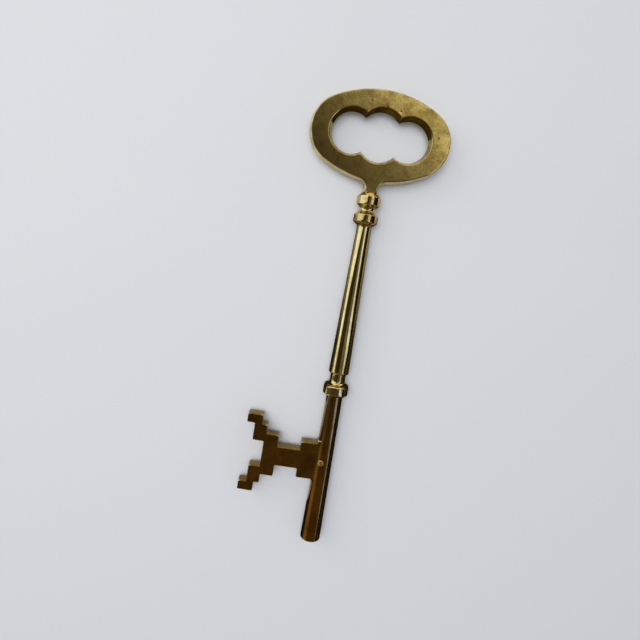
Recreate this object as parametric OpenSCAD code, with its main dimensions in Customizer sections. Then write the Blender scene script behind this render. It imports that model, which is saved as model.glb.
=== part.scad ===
// Large decorative skeleton key in solid brass, lying on its back.
// The shank runs along +Y from the tip, the bit reaches to -X and the front faces +Z.
// The origin is the centre of the tip's end face, on the shank's axis.

/* [Bow] */
// Width of the oval bow
bow_w = 76; // [72:0.5:82]
// Height of the oval bow, along the shank
bow_h = 48; // [46:0.5:52]
// Radius of the oval's two ends
bow_end_r = 19; // [17.5:0.25:20.5]
// Thickness of the cast plate
bow_t = 9; // [8.5:0.25:10.5]
// Width of the eased edge all round the plate
bow_ease = 0.9; // [0.5:0.1:1.2]
// How far the rim stands out at its parting line, half way through the plate
bow_draft = 0.5; // [0.2:0.1:0.8]

/* [Bow opening] */
// Width of the three-lobed opening at the front
opening_w = 56; // [53:0.5:58]
// Radius of the left and right lobes
side_lobe_r = 12.7; // [12:0.1:13.4]
// Radius of the upper and lower middle lobes
middle_lobe_r = 13.2; // [12.6:0.1:13.8]
// How far the two middle lobes are set apart from the centre line
middle_lobe_rise = 1.6; // [1:0.1:2.2]
// Width of the eased edge round the opening
opening_ease = 0.9; // [0.5:0.1:1.2]
// How far the opening's wall stands in at its parting line
opening_draft = 1; // [0.4:0.1:1.4]

/* [Bow neck] */
// Width of the neck, which is as thick as the plate
neck_w = 8.2; // [7.6:0.1:9]
// Length of the neck from the top collar to the oval
neck_l = 5.6; // [5.2:0.1:8]
// Radius of the sweep from the neck into the oval
neck_sweep_r = 4.2; // [3:0.1:4.8]
// How far the neck's straight stretch is dressed below the cast faces
neck_dressing = 0.05; // [0.02:0.01:0.1]
// Diameter that the neck's foot is turned down to, where it sits on the top collar
neck_foot_d = 8; // [7.2:0.1:8.2]

/* [Top collar] */
// Diameter of the top collar
top_collar_d = 13.2; // [12.6:0.1:15]
// Length of the top collar
top_collar_l = 7.4; // [6.8:0.1:10]
// Diameter of its upper end, where the bow sits
top_collar_seat_d = 8.8; // [8.2:0.1:10]
// Height of its sloped shoulder
top_collar_shoulder_l = 2.1; // [1:0.1:2.8]
// Height of its lower bevel
top_collar_bevel_l = 1; // [0.5:0.1:1.8]

/* [Cove spacer] */
// Diameter of the spacer's two ends, and of the collar faces that meet them
spacer_d = 10.4; // [9.6:0.1:12]
// Length of the spacer
spacer_l = 3.2; // [2.4:0.1:4.5]
// Depth of the hollow turned round its waist
spacer_cove = 0.85; // [0.3:0.05:1]

/* [Second collar] */
// Diameter of the second collar
second_collar_d = 13.2; // [12.6:0.1:15]
// Length of the second collar
second_collar_l = 6.2; // [5:0.1:9]
// Height of its upper bevel
second_collar_top_bevel_l = 1.3; // [0.5:0.1:1.8]
// Height of its lower bevel
second_collar_low_bevel_l = 1.2; // [0.5:0.1:1.8]

/* [Upper shank] */
// Length of the tapered upper shank
upper_shank_l = 84; // [70:1:100]
// Diameter at its upper end, below the flare
upper_shank_top_d = 8; // [7.6:0.1:9]
// Diameter at its lower end
upper_shank_low_d = 11.3; // [10:0.1:12.6]
// Diameter of the flare under the second collar
flare_d = 10.8; // [10:0.1:12]
// Bevel round its lower end
upper_shank_bevel = 0.9; // [0.3:0.1:1.2]

/* [Neck ring] */
// Length of the neck ring
neck_ring_l = 6.6; // [5.4:0.1:9]
// Diameter of its straight neck
neck_ring_d = 8.6; // [7.8:0.1:9.4]
// Radius of the cove from the neck out to the lip
neck_ring_cove_r = 2.4; // [1.6:0.1:2.5]
// Thickness of the lip below the cove
neck_ring_lip_l = 0.6; // [0.4:0.1:1.2]

/* [Middle collar] */
// Diameter of the middle collar
middle_collar_d = 14; // [13.8:0.1:16]
// Length of the middle collar
middle_collar_l = 6.3; // [5:0.1:9]
// Diameter of its lower end, round the lower shank
middle_collar_seat_d = 10; // [10:0.1:12]
// Height of its lower bevel
middle_collar_bevel_l = 1.4; // [0.6:0.1:2.2]
// Eased edge of the lip and of the rim below it, which form the fine groove
groove_ease = 0.4; // [0.2:0.05:0.5]

/* [Lower shank] */
// Length of the lower shank, from the tip to the middle collar
lower_shank_l = 86.7; // [82:1:110]
// Diameter at its upper end
lower_shank_top_d = 9; // [9:0.1:9.8]
// Diameter at the tip
lower_shank_tip_d = 11.6; // [11:0.1:13]
// Bevel round the tip
tip_bevel = 0.7; // [0.2:0.1:1.5]

/* [Bit] */
// Height of the bit's centre line above the tip
bit_y = 47.7; // [44:0.1:52]
// Thickness of the bit
bit_t = 8; // [6.5:0.1:8.4]
// Eased edge round the bit
bit_ease = 0.5; // [0.2:0.05:0.7]
// Distance from the shank's axis to the end of the block beside the shank
block_reach = 14.4; // [12:0.1:16]
// Height of that block
block_h = 21.4; // [19:0.1:24]
// Radius of the sweeps that lead from the block's two ends on to the shank's side
block_sweep_r = 1.2; // [0.5:0.1:1.6]
// Length of the narrow waist
waist_l = 12.9; // [10:0.1:16]
// Height of the narrow waist
waist_h = 11.2; // [9:0.1:13]
// Length of the first step beyond the waist
step_1_l = 7.3; // [6:0.1:9]
// Height over the first step
step_1_h = 24.4; // [22:0.1:26]
// Length of the second step
step_2_l = 3.1; // [2:0.1:4]
// Height over the second step
step_2_h = 34.6; // [32:0.1:37]
// Length of the outer toe
toe_l = 8.8; // [7:0.1:11]
// Height over the two toes
toe_h = 45.4; // [43:0.1:48]
// Height of the opening between the toes
toe_gap_h = 34.6; // [32:0.1:37]
// Depth of that opening, from the toes' ends to the arms
toe_gap_l = 4.5; // [3:0.1:6]
// Height of the inner notch between the arms
notch_h = 14.8; // [12:0.1:18]
// Depth of the inner notch, measured from the arms
notch_l = 6.4; // [4:0.1:8]

/* [Joinery] */
// Diameter of the two studs that hold the turned pieces together
stud_d = 5; // [4:0.1:5.4]
// Clearance round a stud where it only passes through
stud_clearance = 0.1; // [0.05:0.05:0.3]
// How far a stud is screwed into the bow and into each shank
stud_grip = 12; // [8:0.5:14]
// Spare depth below a stud in its blind hole
stud_hole_spare = 0.8; // [0.2:0.1:2]
// Thickness of the bit's tongue
tongue_t = 4; // [3:0.1:5]
// Height of the bit's tongue
tongue_h = 16; // [12:0.5:18]
// How far the tongue runs past the shank's axis
tongue_past = 1.8; // [1.6:0.1:2.4]
// Clearance round the tongue in its slot
slot_clearance = 0.05; // [0.02:0.01:0.15]
// Diameter of the cross pin through shank and tongue
pin_d = 3; // [2:0.1:3.2]
// Distance from the shank's axis to the pin, towards the bit
pin_offset = 1.6; // [0:0.1:2]
// How far the pin's two ends, filed round with the shank, stand out of it
pin_proud = 0.15; // [0.05:0.05:0.3]

/* [Hidden] */
$fn = 120;

// Heights of the seats along the shank, stacked up from the tip
middle_collar_y = lower_shank_l;
neck_ring_y = middle_collar_y + middle_collar_l;
upper_shank_y = neck_ring_y + neck_ring_l;
second_collar_y = upper_shank_y + upper_shank_l;
spacer_y = second_collar_y + second_collar_l;
top_collar_y = spacer_y + spacer_l;
bow_seat_y = top_collar_y + top_collar_l;
bow_y = bow_seat_y + neck_l + bow_h / 2;

// The oval has four centres: two on its long axis and two, far off, on the shank's axis
end_x = bow_w / 2 - bow_end_r;
long_r = (end_x * end_x + bow_h * bow_h / 4 - bow_end_r * bow_end_r) / (bow_h - 2 * bow_end_r);
long_y = long_r - bow_h / 2;
long_angle = atan(end_x / long_y);
// Width of the rims that the plate's edge is swept in, and how far the flat middle laps into them
rim_w = 6;
rim_lap = 2;
// An eased edge is rounded by one point in its middle, this share of its width in from both faces
ease_middle = 0.3;
// How far a cutter runs on past the face that it opens
cut_past = 1;

// Centre of the sweep that meets the neck's side and the oval's lower arc, and where it meets that arc
sweep_x = neck_w / 2 + neck_sweep_r;
sweep_y = bow_y + long_y - sqrt(pow(long_r + neck_sweep_r, 2) - pow(sweep_x, 2));
sweep_angle = asin(sweep_x / (long_r + neck_sweep_r));

// Colours of the aged brass
bow_brass = "#9a8040";
collar_brass = "#b89a50";
upper_brass = "#a08848";
lower_brass = "#6e5628";
bit_brass = "#6a5428";
stud_brass = "#c0a860";
pin_brass = "#b09858";

// Radius of the lower shank at height y above the tip
function lower_shank_r(y) =
    (lower_shank_tip_d + (lower_shank_top_d - lower_shank_tip_d) * y / lower_shank_l) / 2;

// Turns a profile, drawn as radius and height, round the shank's axis from height y up
module turned(y) {
    translate([0, y, 0]) rotate([-90, 0, 0]) rotate_extrude() children();
}

// A hole or stud on the shank's axis, from height y up
module on_axis(y, d, l) {
    translate([0, y, 0]) rotate([-90, 0, 0]) cylinder(d = d, h = l);
}

// Hole for a stud's end, sunk from the face at height y, up the shank or, with up = -1, down it
module blind_hole(y, up) {
    l = stud_grip + stud_hole_spare + cut_past;
    on_axis(up > 0 ? y - cut_past : y + cut_past - l, stud_d, l);
}

// Cast edge from its parting line up: depth into the metal, and height above half thickness
function edge_half(t, ease, draft) = [
    [0, 0], [draft, t / 2 - ease], [draft + ease_middle * ease, t / 2 - ease_middle * ease],
    [draft + ease, t / 2]
];

// The whole cast edge of a plate of thickness t, from its back to its front
function edge_line(t) = let (half = edge_half(t, bow_ease, bow_draft))
    concat([for (i = [len(half) - 1 : -1 : 1]) [half[i][0], -half[i][1]]], half);

// Section of a rim whose edge is at radius r. Its metal lies inwards, or outwards where way is 1
module rim_section(r, way = -1) {
    polygon(concat([[r + way * rim_w, -bow_t / 2]], [for (p = edge_line(bow_t)) [r + way * p[0], p[1]]],
                   [[r + way * rim_w, bow_t / 2]]));
}

// Rim of the oval's upper stretch, swept round its far centre
module oval_long_rim() {
    translate([0, -long_y, 0])
        rotate([0, 0, 90 - long_angle])
            rotate_extrude(angle = 2 * long_angle) rim_section(long_r);
}

// Rim of the oval's lower right stretch, and the sweep that leads from it down into the neck's side.
// Both start where their two circles touch, on the line from the far centre to the sweep's own
module oval_low_rim() {
    translate([0, long_y, 0]) rotate([0, 0, sweep_angle - 90]) {
        rotate_extrude(angle = long_angle - sweep_angle) rim_section(long_r);
        translate([long_r + neck_sweep_r, 0, 0]) rotate([0, 0, 180])
            rotate_extrude(angle = 90 - sweep_angle) rim_section(neck_sweep_r, 1);
    }
}

// Rim of one end of the oval, meeting the long rims on the lines through both centres
module oval_end_rim() {
    translate([end_x, 0, 0])
        rotate([0, 0, long_angle - 90])
            rotate_extrude(angle = 180 - 2 * long_angle) rim_section(bow_end_r);
}

// Flat middle of the plate, which reaches into the rims all round
module oval_core() {
    core_end_r = bow_end_r - rim_w + rim_lap;
    core_long_r = long_r - rim_w + rim_lap;
    linear_extrude(bow_t, center = true) {
        for (side = [-1, 1]) translate([side * end_x, 0]) circle(core_end_r);
        intersection() {
            translate([0, -long_y]) circle(core_long_r);
            translate([0, long_y]) circle(core_long_r);
            square([2 * (end_x + core_end_r * sin(long_angle)), bow_h], center = true);
        }
    }
}

module bow_plate() {
    oval_core();
    oval_long_rim();
    for (side = [0, 1]) mirror([side, 0, 0]) {
        oval_end_rim();
        oval_low_rim();
    }
}

// Middle of the plate above the neck, which ties the two sweeps and the plate together
module neck_core() {
    low_y = -bow_h / 2;
    linear_extrude(bow_t, center = true)
        polygon([[-rim_lap, low_y - rim_lap / 2], [rim_lap, low_y - rim_lap / 2],
                 [rim_w, low_y + rim_w], [-rim_w, low_y + rim_w]]);
}

// Straight stretch of the neck, dressed a little below the cast faces, which reaches up between the
// sweeps. Its foot is turned down in a cone, so that it sits round on the collar
module neck_bar() {
    foot_r = neck_foot_d / 2;
    l = sweep_y + rim_lap / 2 - bow_seat_y;
    right = [for (p = edge_line(bow_t - 2 * neck_dressing)) [neck_w / 2 - neck_dressing - p[0], p[1]]];
    left = [for (i = [len(right) - 1 : -1 : 0]) [-right[i][0], right[i][1]]];
    intersection() {
        translate([0, bow_seat_y + l, 0]) rotate([90, 0, 0]) linear_extrude(l) polygon(concat(right, left));
        turned(bow_seat_y) polygon([[0, 0], [foot_r, 0], [foot_r + 2 * l, 2 * l], [0, 2 * l]]);
    }
}

// Upper half of the opening's wall, r being its radius at the faces: it stands in at half thickness
function wall_half(r) = [
    [r - opening_ease - opening_draft, 0], [r - opening_ease, bow_t / 2 - opening_ease],
    [r - (1 - ease_middle) * opening_ease, bow_t / 2 - ease_middle * opening_ease],
    [r, bow_t / 2], [r, bow_t]
];

// Cutter for one lobe of the opening
module lobe(r) {
    half = wall_half(r);
    rotate_extrude()
        polygon(concat([[0, -bow_t]], [for (i = [len(half) - 1 : -1 : 1]) [half[i][0], -half[i][1]]],
                       half, [[0, bow_t]]));
}

module bow_opening() {
    side_x = opening_w / 2 - side_lobe_r;
    for (side = [-1, 1]) {
        translate([side * side_x, 0, 0]) lobe(side_lobe_r);
        translate([0, side * middle_lobe_rise, 0]) lobe(middle_lobe_r);
    }
}

// Cast oval plate with its neck, pierced by the opening and tapped for the stud
module bow() {
    color(bow_brass) difference() {
        union() {
            translate([0, bow_y, 0]) {
                bow_plate();
                neck_core();
            }
            neck_bar();
        }
        translate([0, bow_y, 0]) bow_opening();
        blind_hole(bow_seat_y, 1);
    }
}

// Stud from the upper shank through both collars and the spacer into the bow
module bow_stud() {
    color(stud_brass)
        on_axis(second_collar_y - stud_grip, stud_d, bow_seat_y - second_collar_y + 2 * stud_grip);
}

module through_bore(y, l) {
    on_axis(y - cut_past, stud_d + 2 * stud_clearance, l + 2 * cut_past);
}

module top_collar() {
    color(collar_brass) difference() {
        turned(top_collar_y)
            polygon([[0, 0], [spacer_d / 2, 0], [top_collar_d / 2, top_collar_bevel_l],
                     [top_collar_d / 2, top_collar_l - top_collar_shoulder_l],
                     [top_collar_seat_d / 2, top_collar_l], [0, top_collar_l]]);
        through_bore(top_collar_y, top_collar_l);
    }
}

// Short reel between the collars, with a hollow of circular section round it
module cove_spacer() {
    cove_r = (pow(spacer_l / 2, 2) + pow(spacer_cove, 2)) / (2 * spacer_cove);
    color(collar_brass) difference() {
        turned(spacer_y) difference() {
            square([spacer_d / 2, spacer_l]);
            translate([spacer_d / 2 + cove_r - spacer_cove, spacer_l / 2]) circle(cove_r);
        }
        through_bore(spacer_y, spacer_l);
    }
}

module second_collar() {
    color(collar_brass) difference() {
        turned(second_collar_y)
            polygon([[0, 0], [flare_d / 2, 0], [second_collar_d / 2, second_collar_low_bevel_l],
                     [second_collar_d / 2, second_collar_l - second_collar_top_bevel_l],
                     [spacer_d / 2, second_collar_l], [0, second_collar_l]]);
        through_bore(second_collar_y, second_collar_l);
    }
}

// Tapered shank that flares out under the second collar
module upper_shank() {
    flare_r = (flare_d - upper_shank_top_d) / 2;
    color(upper_brass) difference() {
        turned(upper_shank_y) {
            polygon([[0, 0], [upper_shank_low_d / 2 - upper_shank_bevel, 0],
                     [upper_shank_low_d / 2, upper_shank_bevel],
                     [upper_shank_top_d / 2, upper_shank_l - flare_r], [0, upper_shank_l - flare_r]]);
            difference() {
                translate([0, upper_shank_l - flare_r]) square([flare_d / 2, flare_r]);
                translate([flare_d / 2, upper_shank_l - flare_r]) circle(flare_r);
            }
        }
        blind_hole(second_collar_y, -1);
        blind_hole(upper_shank_y, 1);
    }
}

// Straight neck that sweeps out in a cove to a thin lip
module neck_ring() {
    lip_r = neck_ring_d / 2 + neck_ring_cove_r;
    color(collar_brass) difference() {
        turned(neck_ring_y) difference() {
            polygon([[0, 0], [lip_r - groove_ease, 0], [lip_r, groove_ease],
                     [lip_r, neck_ring_l], [0, neck_ring_l]]);
            translate([lip_r, neck_ring_lip_l + neck_ring_cove_r]) circle(neck_ring_cove_r);
            translate([neck_ring_d / 2, neck_ring_lip_l + neck_ring_cove_r]) square([lip_r, neck_ring_l]);
        }
        through_bore(neck_ring_y, neck_ring_l);
    }
}

module middle_collar() {
    color(collar_brass) difference() {
        turned(middle_collar_y)
            polygon([[0, 0], [middle_collar_seat_d / 2, 0], [middle_collar_d / 2, middle_collar_bevel_l],
                     [middle_collar_d / 2, middle_collar_l - groove_ease],
                     [middle_collar_d / 2 - groove_ease, middle_collar_l], [0, middle_collar_l]]);
        through_bore(middle_collar_y, middle_collar_l);
    }
}

// Stud from the lower shank through the middle collar and the neck ring into the upper shank
module shank_stud() {
    color(stud_brass)
        on_axis(middle_collar_y - stud_grip, stud_d, upper_shank_y - middle_collar_y + 2 * stud_grip);
}

// Outside of the lower shank, also used to fit the bit's inner end and the pin's ends to it
module lower_shank_body(proud = 0) {
    tip_r = lower_shank_tip_d / 2 + proud;
    turned(0)
        polygon([[0, 0], [tip_r - tip_bevel, 0], [tip_r, tip_bevel],
                 [lower_shank_top_d / 2 + proud, lower_shank_l], [0, lower_shank_l]]);
}

// Round bar across the shank where the pin goes, long enough to pass right through
module pin_bar() {
    translate([-pin_offset, bit_y, 0]) cylinder(d = pin_d, h = 2 * lower_shank_tip_d, center = true);
}

module lower_shank() {
    slot_h = tongue_h + 2 * slot_clearance;
    slot_t = tongue_t + 2 * slot_clearance;
    color(lower_brass) difference() {
        lower_shank_body();
        translate([-lower_shank_tip_d, bit_y - slot_h / 2, -slot_t / 2])
            cube([lower_shank_tip_d + tongue_past + slot_clearance, slot_h, slot_t]);
        blind_hole(middle_collar_y, -1);
        pin_bar();
    }
}

// Distances from the shank's axis to each change of height along the bit
waist_end = block_reach + waist_l;
step_1_end = waist_end + step_1_l;
step_2_end = step_1_end + step_2_l;
bit_reach = step_2_end + toe_l;
arm_end = bit_reach - toe_gap_l;
notch_end = arm_end - notch_l;

// Sweep from the shank's side on to the block's upper end, drawn in by e
block_sweep_x = lower_shank_r(bit_y) + block_sweep_r;
function block_sweep(e) = let (r = block_sweep_r + e, start = asin(e / r), steps = 4) [
    for (i = [0 : steps]) let (a = start + (90 - start) * i / steps)
        [block_sweep_x - r * cos(a), block_h / 2 + block_sweep_r - r * sin(a)]
];

// Upper half of the stepped outline, from the shank out and back along the far side, drawn in by e
function bit_half(e) = concat([[0, block_h / 2 + block_sweep_r - e]], block_sweep(e), [
    [block_reach - e, block_h / 2 - e],
    [block_reach - e, waist_h / 2 - e], [waist_end + e, waist_h / 2 - e],
    [waist_end + e, step_1_h / 2 - e], [step_1_end + e, step_1_h / 2 - e],
    [step_1_end + e, step_2_h / 2 - e], [step_2_end + e, step_2_h / 2 - e],
    [step_2_end + e, toe_h / 2 - e], [bit_reach - e, toe_h / 2 - e],
    [bit_reach - e, toe_gap_h / 2 + e], [arm_end - e, toe_gap_h / 2 + e],
    [arm_end - e, notch_h / 2 + e], [notch_end - e, notch_h / 2 + e]
]);

// The whole outline: the half above and its mirror image below
function bit_outline(e) = concat(
    [for (p = bit_half(e)) [-p[0], p[1]]],
    [for (i = [len(bit_half(e)) - 1 : -1 : 0]) [-bit_half(e)[i][0], -bit_half(e)[i][1]]]
);

// Stepped plate with eased edges, its inner end hollowed to the shank and carrying the tongue
module bit() {
    color(bit_brass) difference() {
        union() {
            difference() {
                translate([0, bit_y, 0]) minkowski() {
                    linear_extrude(bit_t - 2 * bit_ease, center = true) polygon(bit_outline(bit_ease));
                    union() {
                        cylinder(r1 = bit_ease, r2 = 0, h = bit_ease, $fn = 8);
                        mirror([0, 0, 1]) cylinder(r1 = bit_ease, r2 = 0, h = bit_ease, $fn = 8);
                    }
                }
                lower_shank_body();
                translate([0, 0, -bit_t]) cube([lower_shank_tip_d, lower_shank_l, 2 * bit_t]);
            }
            translate([-block_reach + bit_ease, bit_y - tongue_h / 2, -tongue_t / 2])
                cube([block_reach - bit_ease + tongue_past, tongue_h, tongue_t]);
        }
        pin_bar();
    }
}

// Cross pin, its two ends filed to the shank's curve
module bit_pin() {
    color(pin_brass) intersection() {
        pin_bar();
        lower_shank_body(pin_proud);
    }
}

bow();
bow_stud();
top_collar();
cove_spacer();
second_collar();
upper_shank();
neck_ring();
middle_collar();
shank_stud();
lower_shank();
bit();
bit_pin();
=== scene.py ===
"""Looks of a large decorative skeleton key in aged solid brass, lying on its back on a pale floor."""
import math
from math import cos, pi, radians, sin, sqrt

import bmesh
import bpy
import numpy as np
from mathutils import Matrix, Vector, noise
from mathutils.geometry import delaunay_2d_cdt


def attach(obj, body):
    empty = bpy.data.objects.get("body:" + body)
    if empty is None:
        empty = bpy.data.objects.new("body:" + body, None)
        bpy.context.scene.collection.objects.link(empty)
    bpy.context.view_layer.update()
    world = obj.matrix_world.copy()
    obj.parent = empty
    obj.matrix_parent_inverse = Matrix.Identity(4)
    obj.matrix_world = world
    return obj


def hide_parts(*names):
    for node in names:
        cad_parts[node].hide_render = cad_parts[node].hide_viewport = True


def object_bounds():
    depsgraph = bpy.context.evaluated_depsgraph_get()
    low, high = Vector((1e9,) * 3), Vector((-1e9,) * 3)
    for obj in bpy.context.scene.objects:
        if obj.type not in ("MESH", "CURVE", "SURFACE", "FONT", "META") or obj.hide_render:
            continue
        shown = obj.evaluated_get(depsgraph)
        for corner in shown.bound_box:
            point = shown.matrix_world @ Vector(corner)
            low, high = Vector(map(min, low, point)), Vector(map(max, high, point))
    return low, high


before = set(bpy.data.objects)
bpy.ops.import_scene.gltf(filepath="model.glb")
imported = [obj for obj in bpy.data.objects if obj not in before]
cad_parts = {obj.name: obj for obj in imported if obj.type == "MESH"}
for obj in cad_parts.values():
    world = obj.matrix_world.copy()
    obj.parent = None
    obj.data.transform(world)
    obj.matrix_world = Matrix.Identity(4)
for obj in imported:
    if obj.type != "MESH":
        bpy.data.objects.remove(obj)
cad_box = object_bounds()

# Camera
# A phone held about 28 cm above the key, a little towards the bit's side and the bow's end.
# The lens is a phone's wide one, and the tilt and roll are the photograph's.
eye = Vector((-0.0273, 0.1609, 0.2773))
tilt_x, tilt_y, roll = -0.1235, -0.0231, 0.1637
sensor_w = 36.0
lens = 28.22

camera = bpy.data.objects.new("camera", bpy.data.cameras.new("camera"))
camera.data.sensor_width = sensor_w
camera.data.lens = lens
camera.data.clip_start = 0.01
camera.rotation_mode = "YXZ"
camera.location = eye
camera.rotation_euler = (tilt_x, tilt_y, roll)
bpy.context.scene.collection.objects.link(camera)
bpy.context.scene.camera = camera
bpy.context.scene.view_settings.view_transform = "Standard"


# Floor and room
# A matt painted board that the key lies on, in an evenly lit pale room. The background is the board itself.
# Colours are written as sRGB hex values.
def rgb(code):
    """Linear colour, with alpha 1, of an sRGB hex value."""
    parts = [int(code[i:i + 2], 16) / 255 for i in (0, 2, 4)]
    return [c / 12.92 if c <= 0.04045 else ((c + 0.055) / 1.055) ** 2.4 for c in parts] + [1.0]


def add(tree, kind, inputs=None, **settings):
    """Adds a node, gives it its settings, and sets or links its inputs by name or number."""
    node = tree.nodes.new(kind)
    for key, value in settings.items():
        setattr(node, key, value)
    for key, value in (inputs or {}).items():
        if isinstance(value, bpy.types.NodeSocket):
            tree.links.new(value, node.inputs[key])
        else:
            node.inputs[key].default_value = value
    return node


def new_material(name):
    """An empty node material, its tree and its output node."""
    material = bpy.data.materials.new(name)
    material.use_nodes = True
    material.node_tree.nodes.clear()
    return material, material.node_tree, material.node_tree.nodes.new("ShaderNodeOutputMaterial")


def oblong(x1, y1, x2, y2):
    """The corners of a rectangle, from one corner and the one across from it."""
    return [(x1, y1), (x2, y1), (x2, y2), (x1, y2)]


def sheet_of(name, corners, material):
    """A flat piece of the studio, which isn't part of the object."""
    mesh = bpy.data.meshes.new(name)
    mesh.from_pydata(corners, [], [range(len(corners))])
    mesh.materials.append(material)
    sheet = bpy.data.objects.new(name, mesh)
    bpy.context.scene.collection.objects.link(sheet)
    return sheet


def seen_as_backdrop(tree):
    """1 for what the camera, a mirror or glass sees straight, 0 for the light that falls on things."""
    path = add(tree, "ShaderNodeLightPath")
    either = add(tree, "ShaderNodeMath", {0: path.outputs["Is Camera Ray"], 1: path.outputs["Is Glossy Ray"]},
                 operation="MAXIMUM")
    return add(tree, "ShaderNodeMath", {0: either.outputs[0], 1: path.outputs["Is Transmission Ray"]},
               operation="MAXIMUM").outputs[0]


board_gap = 0.00005
board_z = cad_box[0].z - board_gap
board_half = 3.0
sweep_start, sweep_end = 0.6, 1.8
backdrop_code = "e0e4e8"
ambient_strength = 0.30
board_paint, tree, output = new_material("matt_painted_board")
board = add(tree, "ShaderNodeBsdfPrincipled", {"Base Color": rgb("e8eaed"), "Roughness": 0.9,
                                               "Specular IOR Level": 0.2})
# Far from the key the board runs into the backdrop, as a studio's curved sweep does
far = add(tree, "ShaderNodeTexCoord").outputs["Object"]
far = add(tree, "ShaderNodeVectorMath", {0: far}, operation="LENGTH")
far = add(tree, "ShaderNodeMapRange", {0: far.outputs["Value"], 1: sweep_start, 2: sweep_end})
far = add(tree, "ShaderNodeMath", {0: far.outputs[0], 1: seen_as_backdrop(tree)}, operation="MULTIPLY")
sweep = add(tree, "ShaderNodeEmission", {"Color": rgb(backdrop_code), "Strength": 1.0})
board = add(tree, "ShaderNodeMixShader", {0: far.outputs[0], 1: board.outputs[0], 2: sweep.outputs[0]})
tree.links.new(board.outputs[0], output.inputs[0])
board_corners = oblong(-board_half, -board_half, board_half, board_half)
sheet_of("floor", [(x, y, board_z) for x, y in board_corners], board_paint)

world = bpy.data.worlds.new("pale_room")
world.use_nodes = True
bpy.context.scene.world = world
tree = world.node_tree
tree.nodes.clear()
backdrop = add(tree, "ShaderNodeBackground", {"Color": rgb(backdrop_code), "Strength": 1.0})
ambient = add(tree, "ShaderNodeBackground", {"Color": rgb("f4f6fa"), "Strength": ambient_strength})
room = add(tree, "ShaderNodeMixShader", {0: seen_as_backdrop(tree), 1: ambient.outputs[0],
                                         2: backdrop.outputs[0]})
add(tree, "ShaderNodeOutputWorld", {"Surface": room.outputs[0]})

# Reflected cards
# Polished brass shows what stands round it, so the key lies in a tent of brown card with bright sheets on its
# left, over its right and past its bow. They light nothing and the camera doesn't see them: the metal only
# mirrors them as its light and dark bands.
card_z = 0.9
card_left_x = -0.85
tent_z, tent_left, tent_right, tent_head, tent_foot = 0.95, -1.3, 1.7, 1.4, -1.5
head_sheet_z = 0.6
roof_foot_y, roof_middle_y, roof_head_y = -0.25, -0.12, 0.33
left_foot_y, left_middle_y, left_card_z = -0.27, -0.09, 0.72
shade_gap = 0.0002
fade_gap, fade_power = 0.01, 3.9


def card(name, code, strength, corners):
    """An evenly bright card, where strength 1 shows its colour as written."""
    paper, tree, output = new_material(name + "_paper")
    glow = add(tree, "ShaderNodeEmission", {"Color": rgb(code), "Strength": strength})
    tree.links.new(glow.outputs[0], output.inputs[0])
    sheet = sheet_of(name, corners, paper)
    sheet.visible_camera = False
    sheet.visible_diffuse = False
    sheet.visible_shadow = False
    return tree, glow


def overhead(outline, z=card_z):
    return [(x, y, z) for x, y in outline]


def beside(outline, x=card_left_x):
    return [(x, y, z) for y, z in outline]


def at_end(y, low, high):
    return [(x, y, z) for x, z in oblong(tent_left, low, tent_right, high)]


# The tent: its roof is darkest over the upper shank and browner over the bit
card("tent_roof_head", "3a3424", 1.0,
     overhead(oblong(tent_left, roof_middle_y, tent_right, tent_head), tent_z))
card("tent_roof_middle", "504a3e", 1.0,
     overhead(oblong(tent_left, roof_foot_y, tent_right, roof_middle_y), tent_z))
card("tent_roof_foot", "705834", 1.0, overhead(oblong(tent_left, tent_foot, tent_right, roof_foot_y), tent_z))
card("tent_right", "241a0e", 1.0, beside(oblong(tent_foot, 0, tent_head, tent_z), tent_right))
card("tent_head", "2c2418", 1.0, at_end(tent_head, head_sheet_z, tent_z))
card("bright_head", "f8ecd0", 2.2, at_end(tent_head, 0, head_sheet_z))
card("tent_foot", "6a5838", 1.0, at_end(tent_foot, 0, tent_z))
# On the left, from beyond the tip up: tan card, grey-brown card, then the bright sheet, whose near end has a
# low brown card under it
low_card_top = [(left_middle_y, 0.14), (0.0, 0.12), (0.08, 0.07), (0.16, 0)]
card("card_left_foot", "b89858", 1.0, beside(oblong(tent_foot, 0, left_foot_y, left_card_z)))
card("card_left_middle", "66604e", 1.0, beside(oblong(left_foot_y, 0, left_middle_y, left_card_z)))
card("bright_left", "e6f0ff", 1.6, beside(low_card_top + [
    (tent_head, 0), (tent_head, card_z), (0.24, card_z), (0.16, left_card_z), (0.13, 0.47), (0.03, 0.45),
    (left_middle_y, 0.5)]))
card("card_left_low", "4e4630", 1.0, beside([(left_middle_y, 0)] + low_card_top[::-1]))
card("bright_left_roof", "e6f0ff", 1.3, overhead([
    (card_left_x, 0.21), (-0.70, 0.246), (-0.30, 0.31), (-0.28, tent_head), (card_left_x, tent_head)]))
# On the right: the strip, bluer towards the bit, and a grey stretch between it and the middle
strip_left = [(0.29, roof_head_y), (0.29, 0.24), (0.39, 0.11), (0.5, 0.0)]
card("bright_strip", "dce6ff", 1.45, overhead(strip_left + [
    (0.63, -0.06), (0.66, -0.13), (1.5, -0.13), (1.35, -0.06), (1.12, 0.0), (0.84, 0.11), (0.66, 0.24),
    (0.8, roof_head_y)]))
card("blue_strip", "a8c0ff", 2.2, overhead([
    (0.5, -0.13), (0.52, -0.18), (0.68, -0.25), (0.82, -0.31), (0.92, -0.36), (1.06, -0.42), (1.25, -0.5),
    (1.3, -0.9), (1.69, -0.9), (1.69, -0.42), (1.5, -0.36), (1.3, -0.31), (1.02, -0.25), (0.86, -0.18),
    (0.95, -0.13)]))
card("grey_roof", "77736c", 1.0, overhead([(-0.05, roof_head_y), (-0.05, roof_middle_y),
                                           (0.66, roof_middle_y)] + strip_left[::-1]))
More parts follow.
